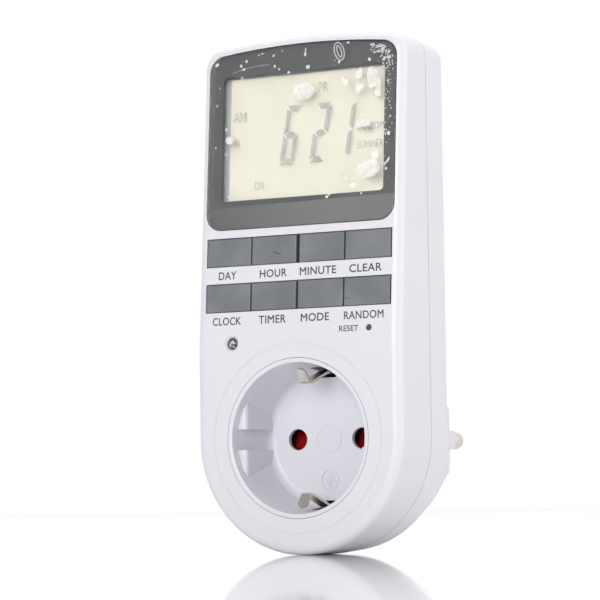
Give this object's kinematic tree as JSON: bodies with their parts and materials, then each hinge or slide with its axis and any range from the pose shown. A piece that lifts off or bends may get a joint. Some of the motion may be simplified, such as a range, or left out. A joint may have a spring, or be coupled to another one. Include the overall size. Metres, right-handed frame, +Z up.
{
  "type": "plug-in weekly timer",
  "caption": "Plug-through timer socket: rounded case with leaning display window, two rows of keys, earthed round socket in front and an earthed plug behind.",
  "frame": {"origin": "centre of the flat end of the plug body, midway between the two pins", "axes": "+Z up, +Y the way the plug pins point (towards the wall), +X to the right seen from the front"},
  "size_m": [0.06, 0.0745, 0.1351],
  "materials": {
    "housing": "smooth moulded, faint lilac white",
    "white_plastic": "moulded",
    "grey_plastic": "moulded",
    "clear_lens": "clear polished plastic",
    "dark_print": "printed border",
    "film": "thin clear film with bubbles",
    "lcd_glass": "polished",
    "lcd_reflector": "satin cream",
    "grey_rubber": "matt",
    "circuit_board": "solder mask",
    "black_epoxy": "cast",
    "black_plastic": "moulded",
    "nickel": "nickel plated",
    "steel": "zinc plated",
    "brass": "stamped",
    "key": "satin blue-grey",
    "dark_key": "satin",
    "led_lens": "clear dome",
    "red_plastic": "moulded",
    "copper_winding": "enamelled wire",
    "yellow_plastic": "moulded box",
    "blue_ceramic": "lacquered"
  },
  "bodies": {
    "case": {"front_housing": "housing", "rear_housing": "housing", "plug_body": "housing", "socket_cup": "housing", "window_lens": "clear_lens", "window_mask": "dark_print", "window_film": "film", "lcd_front_glass": "lcd_glass", "lcd_back_glass": "lcd_glass", "lcd_reflector": "lcd_reflector", "lcd_holder": "grey_plastic", "zebra_strip": "grey_rubber", "control_board": "circuit_board", "chip_blob": "black_epoxy", "crystal": "nickel", "backup_battery": "steel", "battery_tabs": "nickel", "keypad_mat": "grey_rubber", "status_led": "led_lens", "shutter_guide": "white_plastic", "shutter_spring": "steel", "earth_bridge": "brass", "plug_earth_top": "nickel", "plug_earth_bottom": "nickel", "plug_pin_left": "nickel", "plug_pin_right": "nickel", "plug_bar_left": "brass", "plug_bar_right": "brass", "socket_contact_left": "brass", "socket_contact_right": "brass", "power_board": "circuit_board", "relay_base": "black_plastic", "relay_case": "black_plastic", "relay_coil": "copper_winding", "relay_yoke": "steel", "relay_contact": "brass", "film_capacitor": "yellow_plastic", "storage_capacitor": "black_plastic", "diodes": "black_epoxy", "resistors": "blue_ceramic", "fusible_resistor": "blue_ceramic", "board_header": "black_plastic", "board_screws": "steel", "case_screws": "steel"},
    "key_day_body": {"key_day": "key"},
    "key_hour_body": {"key_hour": "key"},
    "key_minute_body": {"key_minute": "key"},
    "key_clear_body": {"key_clear": "key"},
    "key_clock_body": {"key_clock": "key"},
    "key_program_body": {"key_program": "key"},
    "key_mode_body": {"key_mode": "key"},
    "key_random_body": {"key_random": "key"},
    "reset_body": {"reset_button": "dark_key"},
    "shutter_body": {"safety_shutter": "red_plastic"},
    "armature_body": {"relay_armature": "steel"},
    "earth_clip_top_body": {"earth_clip_top": "nickel"},
    "earth_clip_bottom_body": {"earth_clip_bottom": "nickel"}
  },
  "joints": [
    {"name": "key_day_press", "type": "slide", "parent": "case", "child": "key_day_body", "axis": [0, 0.9975, -0.0706], "range_m": [0, 0.0007], "stiffness_N_per_m": 800, "springref_m": -0.0005, "deforming": ["keypad_mat"]},
    {"name": "key_hour_press", "type": "slide", "parent": "case", "child": "key_hour_body", "axis": [0, 0.9975, -0.0706], "range_m": [0, 0.0007], "stiffness_N_per_m": 800, "springref_m": -0.0005, "deforming": ["keypad_mat"]},
    {"name": "key_minute_press", "type": "slide", "parent": "case", "child": "key_minute_body", "axis": [0, 0.9975, -0.0706], "range_m": [0, 0.0007], "stiffness_N_per_m": 800, "springref_m": -0.0005, "deforming": ["keypad_mat"]},
    {"name": "key_clear_press", "type": "slide", "parent": "case", "child": "key_clear_body", "axis": [0, 0.9975, -0.0706], "range_m": [0, 0.0007], "stiffness_N_per_m": 800, "springref_m": -0.0005, "deforming": ["keypad_mat"]},
    {"name": "key_clock_press", "type": "slide", "parent": "case", "child": "key_clock_body", "axis": [0, 0.9975, -0.0706], "range_m": [0, 0.0007], "stiffness_N_per_m": 800, "springref_m": -0.0005, "deforming": ["keypad_mat"]},
    {"name": "key_program_press", "type": "slide", "parent": "case", "child": "key_program_body", "axis": [0, 0.9975, -0.0706], "range_m": [0, 0.0007], "stiffness_N_per_m": 800, "springref_m": -0.0005, "deforming": ["keypad_mat"]},
    {"name": "key_mode_press", "type": "slide", "parent": "case", "child": "key_mode_body", "axis": [0, 0.9975, -0.0706], "range_m": [0, 0.0007], "stiffness_N_per_m": 800, "springref_m": -0.0005, "deforming": ["keypad_mat"]},
    {"name": "key_random_press", "type": "slide", "parent": "case", "child": "key_random_body", "axis": [0, 0.9975, -0.0706], "range_m": [0, 0.0007], "stiffness_N_per_m": 800, "springref_m": -0.0005, "deforming": ["keypad_mat"]},
    {"name": "reset_press", "type": "slide", "parent": "case", "child": "reset_body", "axis": [0, 0.9975, -0.0706], "range_m": [0, 0.0005], "stiffness_N_per_m": 600, "springref_m": -0.0005, "deforming": ["keypad_mat"]},
    {"name": "shutter_slide", "type": "slide", "parent": "case", "child": "shutter_body", "axis": [0, 0, -1], "range_m": [0, 0.006], "stiffness_N_per_m": 120, "springref_m": -0.004, "deforming": ["shutter_spring"]},
    {"name": "relay_armature_pivot", "type": "hinge", "parent": "case", "child": "armature_body", "pos_m": [0.0128, -0.0413, 0.05195], "axis": [1, 0, 0], "range_deg": [-2, 0], "stiffness_Nm_per_rad": 0.02, "springref_deg": 5.73},
    {"name": "earth_clip_top_flex", "type": "hinge", "parent": "case", "child": "earth_clip_top_body", "pos_m": [0, -0.0356, 0.01745], "axis": [-1, 0, 0], "range_deg": [0, 3], "stiffness_Nm_per_rad": 0.4},
    {"name": "earth_clip_bottom_flex", "type": "hinge", "parent": "case", "child": "earth_clip_bottom_body", "pos_m": [0, -0.0356, -0.01745], "axis": [1, 0, 0], "range_deg": [0, 3], "stiffness_Nm_per_rad": 0.4}
  ]
}
